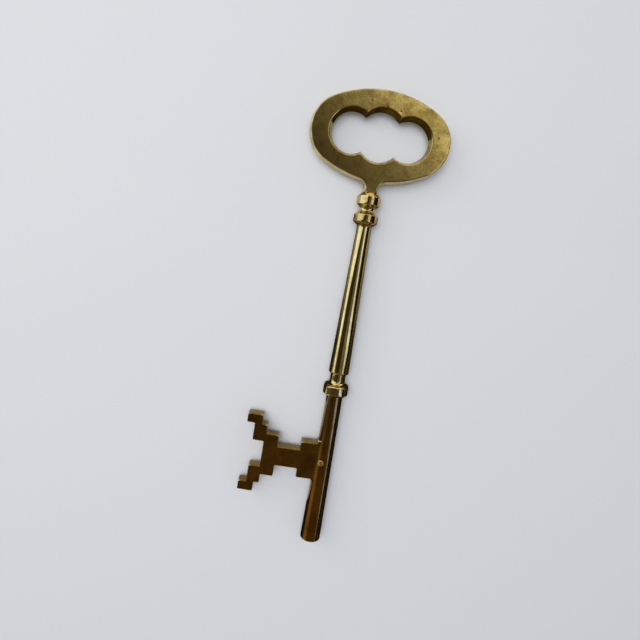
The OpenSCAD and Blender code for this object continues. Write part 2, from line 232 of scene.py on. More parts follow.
# Under the key, a hair above the board: painted shade, a sheet that the metal mirrors in place of the board's
# shadow round the key. It is dark from the tip up to the middle and right under the upper shank, and grey
# beside the upper shank. It leaves the board beside the bit free, so that the bit's steps mirror it
tree, glow = card("shade_under", "ffffff", 1.0, overhead([
    (-0.4, -0.15), (0.4, -0.15), (0.4, 0.19), (-0.4, 0.19), (-0.4, 0.08), (-0.003, 0.08), (-0.003, 0.019),
    (-0.4, 0.019)], board_z + shade_gap))
spot = add(tree, "ShaderNodeTexCoord").outputs["Object"]
spot = add(tree, "ShaderNodeSeparateXYZ", {0: spot})
along = add(tree, "ShaderNodeMapRange", {0: spot.outputs[1], 1: 0.115, 2: 0.165})
aside = add(tree, "ShaderNodeMath", {0: spot.outputs[0]}, operation="ABSOLUTE")
aside = add(tree, "ShaderNodeMapRange", {0: aside.outputs[0], 1: 0.009, 2: 0.018})
along = add(tree, "ShaderNodeMath", {0: along.outputs[0], 1: aside.outputs[0]}, operation="MULTIPLY")
shade = add(tree, "ShaderNodeMix", {0: along.outputs[0], 6: rgb("362c16"), 7: rgb("a09c90")},
            data_type="RGBA")
tree.links.new(shade.outputs[2], glow.inputs["Color"])
# Over the bow's end: a card that goes from brown at its near left corner to white at its far right one
tree, glow = card("fading_roof", "ffffff", 1.15,
                  overhead(oblong(-0.28, roof_head_y, 0.8, 1.0), card_z - fade_gap))
spot = add(tree, "ShaderNodeTexCoord").outputs["Object"]
spot = add(tree, "ShaderNodeSeparateXYZ", {0: spot})
across = add(tree, "ShaderNodeMapRange", {0: spot.outputs[0], 1: -0.073, 2: 0.252, 3: 0.0, 4: 0.50},
             clamp=False)
along = add(tree, "ShaderNodeMapRange", {0: spot.outputs[1], 1: 0.245, 2: 0.56, 3: 0.0, 4: 0.65},
            clamp=False)
fade = add(tree, "ShaderNodeMath", {0: across.outputs[0], 1: along.outputs[0]}, operation="ADD",
           use_clamp=True)
fade = add(tree, "ShaderNodeMath", {0: fade.outputs[0], 1: fade_power}, operation="POWER")
shade = add(tree, "ShaderNodeMix", {0: fade.outputs[0], 6: rgb("221605"), 7: rgb("fefbf2")},
            data_type="RGBA")
tree.links.new(shade.outputs[2], glow.inputs["Color"])


# Lamps
# A large soft box over the key's upper left and a smaller one low on the left, for the floor and the key's
# soft shadow on it. The brass doesn't mirror them.
def soft_box(name, place, target, size_x, size_y, strength, code):
    """A soft box of a given brightness, where 1 is white, that faces a target."""
    lamp = bpy.data.lights.new(name, "AREA")
    lamp.shape = "RECTANGLE"
    lamp.size, lamp.size_y = size_x, size_y
    lamp.energy = strength * pi * size_x * size_y
    lamp.color = rgb(code)[:3]
    holder = bpy.data.objects.new(name, lamp)
    holder.location = place
    holder.rotation_mode = "QUATERNION"
    holder.rotation_quaternion = (Vector(place) - Vector(target)).to_track_quat("Z", "Y")
    holder.visible_glossy = False
    bpy.context.scene.collection.objects.link(holder)


middle = (0.0, 0.15, 0.0)
soft_box("soft_box_over", (-0.25, 0.35, 1.5), middle, size_x=1.0, size_y=1.0, strength=4.2, code="fbfcff")
soft_box("soft_box_low", (-0.9, 0.6, 0.7), middle, size_x=0.5, size_y=0.8, strength=2.0, code="fff8ee")

# Bow
# The grip of the key: an oval plate with a three-lobed opening and a flat-fronted neck, cast in brass, filed
# round its edges and screwed down on the top collar. Its face has clouded over, and handling keeps its edges
# bright; that brightness is also a painted highlight.
mm = 0.001
bow_w, bow_h, bow_t = 76.0, 48.0, 9.0
bow_end_r = 19.0
bow_ease, bow_draft = 0.9, 0.5
bow_y = 230.0
bow_seat_y = 200.4
opening_w = 56.0
side_lobe_r, middle_lobe_r, middle_lobe_rise = 12.7, 13.2, 1.6
wall_ease, wall_draft = 0.9, 1.0
neck_r = 4.1
neck_sweep_r = 4.2
foot_r = 4.15
stud_r = 2.5
foot_blend = 0.06
stud_hole_l, drill_point_l = 12.8, 0.6
step_along = 0.6
face_grid, face_margin = 1.2, 0.5
face_low, face_high = (-40, 200), (40, 256)
sharp_angle = radians(50)

# The oval's four centres, as in the casting's drawing
end_x = bow_w / 2 - bow_end_r
long_r = (end_x ** 2 + bow_h ** 2 / 4 - bow_end_r ** 2) / (bow_h - 2 * bow_end_r)
long_y = long_r - bow_h / 2
long_angle = math.atan2(end_x, long_y)
sweep_x = neck_r + neck_sweep_r
sweep_y = bow_y + long_y - sqrt((long_r + neck_sweep_r) ** 2 - sweep_x ** 2)
sweep_end_angle = math.atan2(bow_y + long_y - sweep_y, -sweep_x)


class Skin:
    """Rows of points in millimetres, joined by faces into one closed piece."""

    def __init__(self):
        self.points, self.faces = [], []

    def row(self, points):
        first = len(self.points)
        self.points.extend(tuple(float(c) for c in p) for p in points)
        return list(range(first, len(self.points)))

    def join(self, row_a, row_b, closed=False):
        count = len(row_a)
        for i in range(count if closed else count - 1):
            j = (i + 1) % count
            self.faces.append((row_a[i], row_a[j], row_b[j], row_b[i]))

    def mesh(self, name, weld=0.002):
        mesh = bpy.data.meshes.new(name)
        mesh.from_pydata([[c * mm for c in p] for p in self.points], [], self.faces)
        work = bmesh.new()
        work.from_mesh(mesh)
        bmesh.ops.remove_doubles(work, verts=work.verts, dist=weld * mm)
        bmesh.ops.recalc_face_normals(work, faces=work.faces)
        work.to_mesh(mesh)
        work.free()
        return mesh


def new_piece(name, mesh, material):
    """Object for a finished mesh, at the origin."""
    mesh.materials.clear()
    mesh.materials.append(material)
    piece = bpy.data.objects.new(name, mesh)
    bpy.context.scene.collection.objects.link(piece)
    return piece


def full_turn(count):
    """Angles of so many equal steps round a circle."""
    return np.linspace(0, 2 * pi, count + 1)[:-1]


def rounded_min(a, b, blend):
    """The smaller of two heights, with the crease between them rounded."""
    share = np.clip(0.5 + 0.5 * (b - a) / blend, 0, 1)
    return b + (a - b) * share - blend * share * (1 - share)


def arc(centre, r, start, end, inward):
    """Points along an arc and, for each, the direction into the metal."""
    count = max(2, round(abs(end - start) * r / step_along))
    angles = np.linspace(start, end, count + 1)
    way = np.stack([np.cos(angles), np.sin(angles)], 1)
    return np.array(centre) + way * r, way * inward


def cast_edge(half_t, draft, ease):
    """An edge from its parting line up, as depth into the metal and height, then a stretch of the face."""
    wall = [(draft * h, (half_t - ease) * h) for h in (0, 1 / 3, 2 / 3, 0.93)]
    turns = [radians(a) for a in (0, 15, 30, 45, 60, 75, 90)]
    round_edge = [(draft + ease * (1 - cos(a)), half_t - ease + ease * sin(a)) for a in turns]
    face = [(draft + ease + d, half_t) for d in (0.25, 0.7, 1.3)]
    return np.array(wall + round_edge + face)


edge = cast_edge(bow_t / 2, bow_draft, bow_ease)
rows = len(edge)

# Right half of the outline: the neck's side, the sweep, the lower arc, the end and the upper arc
neck_ys = np.linspace(bow_seat_y, sweep_y, 5)[:-1]
stretches = [
    arc((sweep_x, sweep_y), neck_sweep_r, pi, sweep_end_angle, 1),
    arc((0, bow_y + long_y), long_r, sweep_end_angle - pi, long_angle - pi / 2, -1),
    arc((end_x, bow_y), bow_end_r, long_angle - pi / 2, pi / 2 - long_angle, -1),
    arc((0, bow_y - long_y), long_r, pi / 2 - long_angle, pi / 2, -1),
]
outline = np.concatenate([[(neck_r, y) for y in neck_ys], stretches[0][0]]
                         + [places[1:] for places, _ in stretches[1:]])
into = np.concatenate([[(-1.0, 0.0)] * len(neck_ys), stretches[0][1]]
                      + [ways[1:] for _, ways in stretches[1:]])
neck_count = len(neck_ys) + len(stretches[0][0])

# The plate's edge runs on down the neck. Its foot is turned round, in a cone that rounds off into the edge
half_rows = np.zeros((len(outline), rows, 3))
for i, (place, way) in enumerate(zip(outline, into)):
    x, y, z = place[0] + way[0] * edge[:, 0], place[1] + way[1] * edge[:, 0], edge[:, 1]
    if i < neck_count:
        turned_r = foot_r + y - bow_seat_y
        share = rounded_min(np.ones(rows), turned_r / np.hypot(x, z), foot_blend)
        x, z = x * share, z * share
    half_rows[i] = np.stack([x, y, z], 1)
half_rows[-1, :, 0] = 0.0


def lobe_ring(depth):
    """The opening's outline at a depth from its parting line: four arcs that meet in cusps."""
    side_r = side_lobe_r - wall_ease - wall_draft + depth
    middle_r = middle_lobe_r - wall_ease - wall_draft + depth
    side_x = opening_w / 2 - side_lobe_r
    gap = math.hypot(side_x, middle_lobe_rise)
    toward = np.array([side_x, -middle_lobe_rise]) / gap
    reach = (gap ** 2 + middle_r ** 2 - side_r ** 2) / (2 * gap)
    rise = sqrt(middle_r ** 2 - reach ** 2)
    cusp = np.array([0, middle_lobe_rise]) + toward * reach + np.array([-toward[1], toward[0]]) * rise
    side_turn = math.atan2(cusp[1], cusp[0] - side_x)
    middle_turn = math.atan2(cusp[1] - middle_lobe_rise, cusp[0])
    side = np.linspace(-side_turn, side_turn, 61)[:-1]
    over = np.linspace(middle_turn, pi - middle_turn, 33)[:-1]
    side_lobe = np.stack([side_x + side_r * np.cos(side), side_r * np.sin(side)], 1)
    middle_lobe = np.stack([middle_r * np.cos(over), middle_lobe_rise + middle_r * np.sin(over)], 1)
    return np.concatenate([side_lobe, middle_lobe, -side_lobe, -middle_lobe]) + (0, bow_y)


wall = cast_edge(bow_t / 2, wall_draft, wall_ease)


def inside(points, loop):
    """Tells which points lie in a closed loop."""
    x, y = points[:, :1], points[:, 1:2]
    x1, y1 = loop[:, 0], loop[:, 1]
    x2, y2 = np.roll(x1, -1), np.roll(y1, -1)
    with np.errstate(divide="ignore", invalid="ignore"):
        crossed = ((y1 > y) != (y2 > y)) & (x < (x2 - x1) * (y - y1) / (y2 - y1) + x1)
    return crossed.sum(1) % 2 == 1


def face_between(skin, rims, free_points, height):
    """Fills the flat face inside the first rim and outside the others, through free points."""
    flat, fixed, edges = [], [], []
    for rim in rims:
        first = len(flat)
        flat += [Vector(skin.points[k][:2]) for k in rim]
        fixed += list(rim)
        edges += [(first + i, first + (i + 1) % len(rim)) for i in range(len(rim))]
    flat += [Vector(p) for p in free_points]
    spots, _, triangles, origins, _, _ = delaunay_2d_cdt(flat, edges, [], 0, 1e-6)
    spots = np.array([tuple(s) for s in spots])
    names = []
    for spot, origin in zip(spots, origins):
        known = [k for k in origin if k < len(fixed)]
        names.append(fixed[known[0]] if known else skin.row([(*spot, height)])[0])
    triangles = np.array([t for t in triangles if len(t) == 3])
    centres = spots[triangles].mean(1)
    keep = inside(centres, np.array([skin.points[k][:2] for k in rims[0]]))
    for rim in rims[1:]:
        keep &= ~inside(centres, np.array([skin.points[k][:2] for k in rim]))
    skin.faces += [tuple(names[k] for k in t) for t in triangles[keep]]


def grid_inside(low, high, spacing, loops, margin):
    """Points of a triangular grid inside the first loop, outside the others and clear of them all."""
    ys = np.arange(low[1], high[1], spacing * 0.866)
    xs = np.arange(low[0], high[0], spacing)
    spots = np.array([(x + spacing / 2 * (k % 2), y) for k, y in enumerate(ys) for x in xs])
    keep = inside(spots, loops[0])
    for loop in loops[1:]:
        keep &= ~inside(spots, loop)
    for loop in loops:
        keep &= np.hypot(*(spots[:, None] - loop[None]).transpose(2, 0, 1)).min(1) > margin
    return spots[keep]


# Small faults of the face: a round pit, a nick and two dents, with their place, radius and depth
marks = [(8.1, 243.6, 0.75, 0.22), (0.7, 244.8, 0.45, 0.16), (30.2, 233.6, 0.7, 0.12),
         (-7.9, 246.4, 0.6, 0.08)]

bow_skin = Skin()
for side_up in (1, -1):
    turn_over = np.array([1, 1, side_up])
    mirror_x = np.array([-1, 1, 1])
    loop_rows = []
    for k in range(rows):
        right = half_rows[:, k] * turn_over
        left = (half_rows[:-1, k] * turn_over * mirror_x)[::-1]
        loop_rows.append(bow_skin.row(np.concatenate([right, left])))
    for k in range(rows - 1):
        bow_skin.join(loop_rows[k], loop_rows[k + 1])
    top_row = loop_rows[-1]
    # The foot's front edge runs round between the last rows, and the seat's end face closes on the stud hole
    half_turn = math.atan2(half_rows[0, -1, 0], half_rows[0, -1, 2])
    front_edge = bow_skin.row([(foot_r * sin(t), bow_seat_y, side_up * foot_r * cos(t))
                               for t in np.linspace(-half_turn, half_turn, 7)[1:-1]])
    seat = [loop_rows[k][0] for k in range(rows)] + front_edge[::-1] + [line[-1] for line in loop_rows[::-1]]
    for a, b in zip(seat, seat[1:]):
        hole = []
        for p in (a, b):
            x, y, z = bow_skin.points[p]
            r = math.hypot(x, z)
            hole.append((x / r * stud_r, y, z / r * stud_r))
        near = bow_skin.row(hole)
        deep = bow_skin.row([(x, y + stud_hole_l, z) for x, y, z in hole])
        end = bow_skin.row([(0, bow_seat_y + stud_hole_l + drill_point_l, 0)])[0]
        bow_skin.faces += [(a, b, near[1], near[0]), (near[0], near[1], deep[1], deep[0]),
                           (deep[0], deep[1], end)]
    wall_rows = [bow_skin.row([(x, y, side_up * h) for x, y in lobe_ring(d)]) for d, h in wall]
    for k in range(rows - 1):
        bow_skin.join(wall_rows[k], wall_rows[k + 1], closed=True)
    rim = top_row + front_edge
    loops = [np.array([bow_skin.points[k][:2] for k in rim]),
             np.array([bow_skin.points[k][:2] for k in wall_rows[-1]])]
    free = grid_inside(face_low, face_high, face_grid, loops, face_margin)
    if side_up == 1:
        for x, y, r, _ in marks:
            free = free[np.hypot(free[:, 0] - x, free[:, 1] - y) > r * 1.4]
            rings = [(x + r * s * cos(t), y + r * s * sin(t)) for s in (0.25, 0.5, 0.75, 1.0, 1.25)
                     for t in full_turn(12)]
            free = np.concatenate([free, [(x, y)], rings])
    face_between(bow_skin, [rim, wall_rows[-1]], free, side_up * bow_t / 2)


def uneven(mesh, size, depth, seed=0.0):
    """Lowers a hand-finished surface here and there, by up to depth, in swells of about size."""
    lift = Vector((seed, seed, seed))
    for vertex in mesh.vertices:
        swell = noise.noise(vertex.co / (size * mm) + lift)
        vertex.co -= vertex.normal * (0.5 + 0.5 * swell) * depth * mm


def weather(piece, extra_grime_and_shade=None):
    """Stores wear on arrises, which also carries a painted highlight, and grime in corners, from how the
    surface bends at each point; extra grime given, which may be painted shade, is added to the grime.

    A bend is one over a radius in millimetres: it starts to tell at bend_from.
    """
    bend_from, wear_span, grime_span = 0.08, 0.6, 0.8
    mesh = piece.data
    count = len(mesh.vertices)
    spots = np.zeros(count * 3)
    mesh.vertices.foreach_get("co", spots)
    spots = spots.reshape(-1, 3) / mm
    normals = np.zeros(count * 3)
    mesh.vertices.foreach_get("normal", normals)
    normals = normals.reshape(-1, 3)
    ends = np.zeros(len(mesh.edges) * 2, int)
    mesh.edges.foreach_get("vertices", ends)
    a, b = ends.reshape(-1, 2).T
    links = np.bincount(np.concatenate([a, b]), minlength=count)
    apart = spots[b] - spots[a]
    pull = np.zeros((count, 3))
    np.add.at(pull, a, apart)
    np.add.at(pull, b, -apart)
    reach = np.bincount(a, (apart ** 2).sum(1), count) + np.bincount(b, (apart ** 2).sum(1), count)
    bend = -2 * (pull * normals).sum(1) / np.maximum(reach, 1e-6)
    # Each point takes half of its neighbours' bend, twice, so that wear with its painted highlight and grime
    # fade out
    for _ in range(2):
        near = (np.bincount(a, bend[b], count) + np.bincount(b, bend[a], count)) / np.maximum(links, 1)
        bend = 0.5 * bend + 0.5 * near
    wear_and_glint = np.clip((bend - bend_from) / wear_span, 0, 1)
    grime_and_shade = np.clip((-bend - bend_from) / grime_span, 0, 1)
    if extra_grime_and_shade is not None:
        grime_and_shade = np.maximum(grime_and_shade, extra_grime_and_shade(spots, normals))
    for name, values in (("wear_and_glint", wear_and_glint), ("grime_and_shade", grime_and_shade)):
        layer = mesh.attributes.new(name, "FLOAT", "POINT")
        layer.data.foreach_set("value", values.astype(np.float32))


def finished(piece, node, extra_grime_and_shade=None):
    """Smooths a piece between its arrises, weathers it (wear with a painted highlight, and grime), and puts
    it in the place of its CAD node.
    """
    piece.data.shade_smooth()
    piece.data.set_sharp_from_angle(angle=sharp_angle)
    weather(piece, extra_grime_and_shade)
    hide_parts(node)
    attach(piece, "root")


def aged_brass(name, clean, dull, dark, bright, cloud, mottle, gloss, ring=0.0, grain=0.015,
               edge_tint="ffffff", stain=None):
    """Solid brass that has gone dull: clouds of tarnish, dirt in its corners, bright metal on its arrises
    that is also a painted highlight.

    Sizes are in millimetres: of the clouds, of the mottle, of a lathe's rings and of the surface grain's
    height. The gloss is the roughness of clean and of dull metal, edge_tint is what a grazing view mirrors on
    a clean spot, and stain colours a few patches.
    """
    worn_glint_share, dirt_share = 0.85, 0.85
    speck_share, stain_share = 0.18, 0.55
    stain_size = 0.7 * cloud
    dirt_matt, wear_gloss = 0.25, -0.5
    material, tree, output = new_material(name)
    place = add(tree, "ShaderNodeTexCoord").outputs["Object"]
    clouds = add(tree, "ShaderNodeTexNoise", {"Vector": place, "Scale": 1 / (cloud * mm), "Detail": 4.0,
                                              "Roughness": 0.6, "Distortion": 0.4})
    specks = add(tree, "ShaderNodeTexNoise", {"Vector": place, "Scale": 1 / (mottle * mm), "Detail": 2.0,
                                              "Roughness": 0.5})
    tarnish = add(tree, "ShaderNodeMapRange", {0: clouds.outputs[0], 1: 0.36, 2: 0.66})
    speck = add(tree, "ShaderNodeMapRange", {0: specks.outputs[0], 1: 0.35, 2: 0.7, 3: -speck_share,
                                             4: speck_share})
    tarnish = add(tree, "ShaderNodeMath", {0: tarnish.outputs[0], 1: speck.outputs[0]}, operation="ADD",
                  use_clamp=True)
    colour = add(tree, "ShaderNodeMix", {0: tarnish.outputs[0], 6: rgb(clean), 7: rgb(dull)},
                 data_type="RGBA")
    if stain:
        patches = add(tree, "ShaderNodeTexNoise", {"Vector": place, "Scale": 1 / (stain_size * mm),
                                                   "Detail": 3.0, "Roughness": 0.65, "Distortion": 0.8,
                                                   "W": 3.0}, noise_dimensions="4D")
        patch = add(tree, "ShaderNodeMapRange", {0: patches.outputs[0], 1: 0.5, 2: 0.68, 3: 0.0,
                                                 4: stain_share})
        colour = add(tree, "ShaderNodeMix", {0: patch.outputs[0], 6: colour.outputs[2], 7: rgb(stain)},
                     data_type="RGBA")
    wear_and_glint = add(tree, "ShaderNodeAttribute", attribute_name="wear_and_glint").outputs["Fac"]
    grime_and_shade = add(tree, "ShaderNodeAttribute", attribute_name="grime_and_shade").outputs["Fac"]
    # Worn arrises are painted towards a bright colour: real wear and a painted highlight
    worn_glint = add(tree, "ShaderNodeMath", {0: wear_and_glint, 1: worn_glint_share}, operation="MULTIPLY")
    colour = add(tree, "ShaderNodeMix", {0: worn_glint.outputs[0], 6: colour.outputs[2], 7: rgb(bright)},
                 data_type="RGBA")
    # Grime darkens the colour; on the bow's opening walls it also carries painted shade
    dirt_and_shade = add(tree, "ShaderNodeMath", {0: grime_and_shade, 1: dirt_share}, operation="MULTIPLY")
    colour = add(tree, "ShaderNodeMix", {0: dirt_and_shade.outputs[0], 6: colour.outputs[2], 7: rgb(dark)},
                 data_type="RGBA")
    matt = add(tree, "ShaderNodeMapRange", {0: tarnish.outputs[0], 3: gloss[0], 4: gloss[1]})
    matt = add(tree, "ShaderNodeMath", {0: dirt_and_shade.outputs[0], 1: dirt_matt, 2: matt.outputs[0]},
               operation="MULTIPLY_ADD", use_clamp=True)
    rubbed = add(tree, "ShaderNodeMath", {0: wear_and_glint, 1: wear_gloss, 2: 1.0}, operation="MULTIPLY_ADD")
    matt = add(tree, "ShaderNodeMath", {0: matt.outputs[0], 1: rubbed.outputs[0]}, operation="MULTIPLY")
    # Dirt, and the painted shade that comes in with the grime, also dims what a grazing view would mirror
    grazing = add(tree, "ShaderNodeMix", {0: dirt_and_shade.outputs[0], 6: rgb(edge_tint), 7: rgb("4e3c22")},
                  data_type="RGBA")
    height = specks.outputs[0]
    if ring:
        # Noise stretched round the key's axis makes the lathe's rings
        lathe = add(tree, "ShaderNodeMapping", {"Vector": place, "Scale": (0.02, 1.0, 0.02)})
        turned_lines = add(tree, "ShaderNodeTexNoise", {"Vector": lathe.outputs[0], "Scale": 1 / (ring * mm),
                                                        "Detail": 1.0})
        height = add(tree, "ShaderNodeMath", {0: height, 1: turned_lines.outputs[0]},
                     operation="ADD").outputs[0]
    bump = add(tree, "ShaderNodeBump", {"Height": height, "Strength": 1.0, "Distance": grain * mm})
    metal = add(tree, "ShaderNodeBsdfPrincipled", {"Base Color": colour.outputs[2], "Metallic": 1.0,
                                                   "Specular Tint": grazing.outputs[2],
                                                   "Roughness": matt.outputs[0], "Normal": bump.outputs[0]})
    tree.links.new(metal.outputs[0], output.inputs[0])
    return material


def opening_skin_and_shade(spots, normals):
    """The casting's skin was left in the opening, so its wall is dark; where it looks to the tip it is darker
    still, which is painted shade.
    """
    half_w, half_h = opening_w / 2 + 1, middle_lobe_r + 2.5
    near = (np.abs(spots[:, 0]) < half_w) & (np.abs(spots[:, 1] - bow_y) < half_h)
    on_wall = near & (np.abs(normals[:, 2]) < 0.75)
    # Painted shade: walls that look to the tip take full darkness, the rest 0.3 of it for the casting's skin
    return np.where(on_wall, np.where(normals[:, 1] < -0.25, 1.0, 0.3), 0.0)


# Cast brass, file-finished: satin, with clouds of olive tarnish about 10 mm wide and fine mottle
bow_brass = aged_brass("clouded_cast_brass", "d0ba72", "948040", "2a1e0c", "f0e6bc",
                       cloud=9.0, mottle=1.1, gloss=(0.14, 0.24), grain=0.02, stain="8a5620")
bow_mesh = bow_skin.mesh("bow_cast")
# The small faults are on the front
front = 4.0
for vertex in bow_mesh.vertices:
    for x, y, r, depth in marks:
        gap = math.hypot(vertex.co.x / mm - x, vertex.co.y / mm - y)
        if vertex.co.z > front * mm and gap < r:
            vertex.co.z -= depth * mm * (1 - (gap / r) ** 2)
uneven(bow_mesh, size=14.0, depth=0.10)
finished(new_piece("bow_cast", bow_mesh, bow_brass), "bow", opening_skin_and_shade)

# Collars, spacer and neck ring
# Short turned pieces of brass, threaded on the studs like beads. Each is parted off a bar, its arrises
# broken with a file, so that every bevel ends in a thin bright line. Profiles are radius and height.
bore_r = stud_r + 0.1
collar_segments = 96


def arris(profile, r, steps=4, most=0.45):
    """Rounds every inner corner of a profile, each by at most a share of the stretches beside it."""
    profile = np.array(profile, float)
    out = [profile[0]]
    for before, corner, after in zip(profile, profile[1:], profile[2:]):
        back, ahead = before - corner, after - corner
        back_l, ahead_l = np.linalg.norm(back), np.linalg.norm(ahead)
        start = corner + back / back_l * min(r, back_l * most)
        stop = corner + ahead / ahead_l * min(r, ahead_l * most)
        for t in np.linspace(0, 1, steps + 1):
            out.append((1 - t) ** 2 * start + 2 * t * (1 - t) * corner + t * t * stop)
    out.append(profile[-1])
    return np.array(out)


def finely(profile, longest=0.8):
    """Divides the long stretches of a profile."""
    out = [profile[0]]
    for a, b in zip(profile, profile[1:]):
        parts = max(1, math.ceil(np.linalg.norm(b - a) / longest))
        out += [a + (b - a) * k / parts for k in range(1, parts + 1)]
    return np.array(out)


def turned(name, foot_y, profile):
    """Turns a profile, from bore to bore, round the key's axis."""
    skin = Skin()
    angles = full_turn(collar_segments)
    lines = [skin.row([(r * cos(a), foot_y + h, r * sin(a)) for a in angles]) for r, h in profile]
    for line, following in zip(lines, lines[1:] + lines[:1]):
        skin.join(line, following, closed=True)
    return skin.mesh(name)


def collar(node, foot_y, profile, broken):
    """A turned piece from its outer profile, with its arrises broken by a given radius."""
    name = node + "_turned"
    shape = finely(arris([(bore_r, 0)] + profile + [(bore_r, profile[-1][1])], broken))
    finished(new_piece(name, turned(name, foot_y, shape), collar_brass), node)


# Turned brass, once polished: glossy, with dirt in the corners, the lathe's rings, 0.25 mm apart, and a
# painted highlight on its arrises
collar_brass = aged_brass("turned_collar_brass", "ccb67c", "a68c52", "34260f", "f0e4ae",
                          cloud=6.0, mottle=0.9, gloss=(0.06, 0.12), ring=0.25, grain=0.004)
top_collar_y, spacer_y, second_collar_y = 193.0, 189.8, 183.6
neck_ring_y, middle_collar_y = 93.0, 86.7
collar_r, collar_broken = 6.6, 0.22
collar("top_collar", top_collar_y, [(5.2, 0), (collar_r, 1.0), (collar_r, 5.3), (4.4, 7.4)], collar_broken)

spacer_r, spacer_l, spacer_cove = 5.2, 3.2, 0.85
cove_r = (spacer_l ** 2 / 4 + spacer_cove ** 2) / (2 * spacer_cove)
cove_turn = math.asin(spacer_l / 2 / cove_r)
cove_line = [(spacer_r + cove_r - spacer_cove - cove_r * cos(t), spacer_l / 2 + cove_r * sin(t))
             for t in np.linspace(-cove_turn, cove_turn, 11)]
collar("cove_spacer", spacer_y, cove_line, 0.1)

collar("second_collar", second_collar_y, [(5.4, 0), (collar_r, 1.2), (collar_r, 4.9), (5.2, 6.2)],
       collar_broken)

ring_r, ring_l, ring_cove, lip_l = 4.3, 6.6, 2.4, 0.6
lip_r = ring_r + ring_cove
groove = 0.4
ring_line = [(lip_r - groove, 0), (lip_r, groove)]
ring_line += [(lip_r - ring_cove * sin(t), lip_l + ring_cove - ring_cove * cos(t))
              for t in np.linspace(0, pi / 2, 13)]
collar("neck_ring", neck_ring_y, ring_line + [(ring_r, ring_l)], 0.12)

middle_collar_r = 7.0
collar("middle_collar", middle_collar_y,
       [(5.0, 0), (middle_collar_r, 1.4), (middle_collar_r, 5.9), (6.6, 6.3)], 0.2)

# Shanks
# Two tapered bars, turned between centres and bored at their ends for the studs. The upper one flares out
# under the second collar. Both follow one rule, so one node tree makes them. Its sizes are in metres.
bevel_blend = 0.0002
drill_outside = 0.001
bore_segments = 64
shank_tree = tree = bpy.data.node_groups.new("tapered_shank", "GeometryNodeTree")
for name, kind in (("Foot", "Float"), ("Length", "Float"), ("Foot Radius", "Float"), ("Head Radius", "Float"),
                   ("Foot Bevel", "Float"), ("Head Sweep", "Float"), ("Bore Radius", "Float"),
                   ("Foot Bore", "Float"), ("Head Bore", "Float"), ("Rings", "Int"), ("Around", "Int"),
                   ("Brass", "Material")):
    tree.interface.new_socket(name, in_out="INPUT", socket_type="NodeSocket" + kind)
tree.interface.new_socket("Shank", in_out="OUTPUT", socket_type="NodeSocketGeometry")
given = add(tree, "NodeGroupInput").outputs
head = add(tree, "ShaderNodeMath", {0: given["Foot"], 1: given["Length"]}, operation="ADD")
foot_place = add(tree, "ShaderNodeCombineXYZ", {1: given["Foot"]})
head_place = add(tree, "ShaderNodeCombineXYZ", {1: head.outputs[0]})
axis = add(tree, "GeometryNodeCurvePrimitiveLine", {"Start": foot_place.outputs[0],
                                                    "End": head_place.outputs[0]})
axis = add(tree, "GeometryNodeResampleCurve", {"Curve": axis.outputs[0], "Count": given["Rings"]})
# Height above the foot, and the taper up to where the flare starts
spot = add(tree, "GeometryNodeInputPosition")
spot = add(tree, "ShaderNodeSeparateXYZ", {0: spot.outputs[0]})
rise = add(tree, "ShaderNodeMath", {0: spot.outputs[1], 1: given["Foot"]}, operation="SUBTRACT")
straight = add(tree, "ShaderNodeMath", {0: given["Length"], 1: given["Head Sweep"]}, operation="SUBTRACT")
taper = add(tree, "ShaderNodeMapRange", {0: rise.outputs[0], 1: 0.0, 2: straight.outputs[0],
                                         3: given["Foot Radius"], 4: given["Head Radius"]})
# The flare is a quarter circle: sweep - sqrt(sweep^2 - past^2)
past = add(tree, "ShaderNodeMath", {0: rise.outputs[0], 1: straight.outputs[0]}, operation="SUBTRACT")
past = add(tree, "ShaderNodeMath", {0: past.outputs[0], 1: 0.0}, operation="MAXIMUM")
past = add(tree, "ShaderNodeMath", {0: past.outputs[0], 1: past.outputs[0]}, operation="MULTIPLY")
square = add(tree, "ShaderNodeMath", {0: given["Head Sweep"], 1: given["Head Sweep"]}, operation="MULTIPLY")
left_over = add(tree, "ShaderNodeMath", {0: square.outputs[0], 1: past.outputs[0]}, operation="SUBTRACT")
left_over = add(tree, "ShaderNodeMath", {0: left_over.outputs[0], 1: 0.0}, operation="MAXIMUM")
chord = add(tree, "ShaderNodeMath", {0: left_over.outputs[0]}, operation="SQRT")
flare = add(tree, "ShaderNodeMath", {0: given["Head Sweep"], 1: chord.outputs[0]}, operation="SUBTRACT")
body = add(tree, "ShaderNodeMath", {0: taper.outputs[0], 1: flare.outputs[0]}, operation="ADD")
bevel = add(tree, "ShaderNodeMath", {0: given["Foot Radius"], 1: given["Foot Bevel"]}, operation="SUBTRACT")
bevel = add(tree, "ShaderNodeMath", {0: bevel.outputs[0], 1: rise.outputs[0]}, operation="ADD")
radius = add(tree, "ShaderNodeMath", {0: body.outputs[0], 1: bevel.outputs[0], 2: bevel_blend},
             operation="SMOOTH_MIN")
section = add(tree, "GeometryNodeCurvePrimitiveCircle", {"Resolution": given["Around"], "Radius": 1.0})
bar = add(tree, "GeometryNodeCurveToMesh", {"Curve": axis.outputs[0], "Scale": radius.outputs[0],
                                            "Profile Curve": section.outputs[0], "Fill Caps": True})
